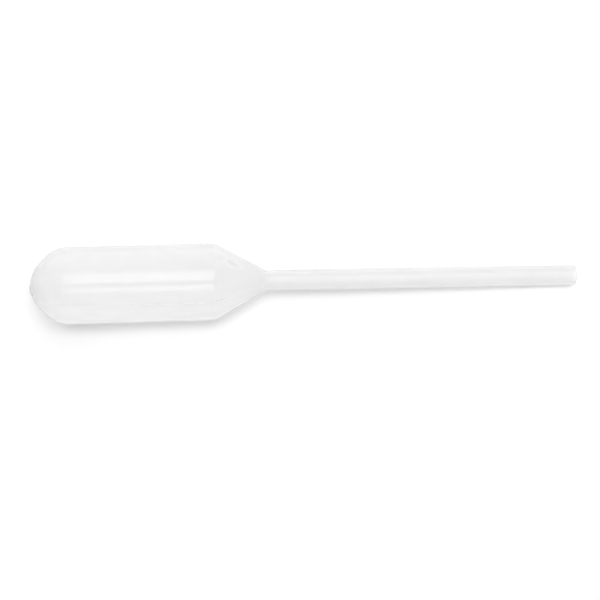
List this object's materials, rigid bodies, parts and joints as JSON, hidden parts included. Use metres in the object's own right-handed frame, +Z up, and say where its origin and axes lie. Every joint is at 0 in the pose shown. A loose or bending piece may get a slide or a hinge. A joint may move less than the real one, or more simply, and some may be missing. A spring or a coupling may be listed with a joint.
{
  "type": "dropper pipette",
  "caption": "Blown translucent dropper pipette with a round-nosed squeeze bulb, a cone and a plain straight stem, open at its tip.",
  "frame": {"origin": "mid-length and mid-width of the part as it lies, at the height of the surface under it", "axes": "+X from the bulb to the open tip, +Y across, +Z up"},
  "size_m": [0.09, 0.0126, 0.0144],
  "materials": {
    "polyethylene": "satin"
  },
  "bodies": {
    "root": {"pipette": "polyethylene"}
  },
  "joints": []
}
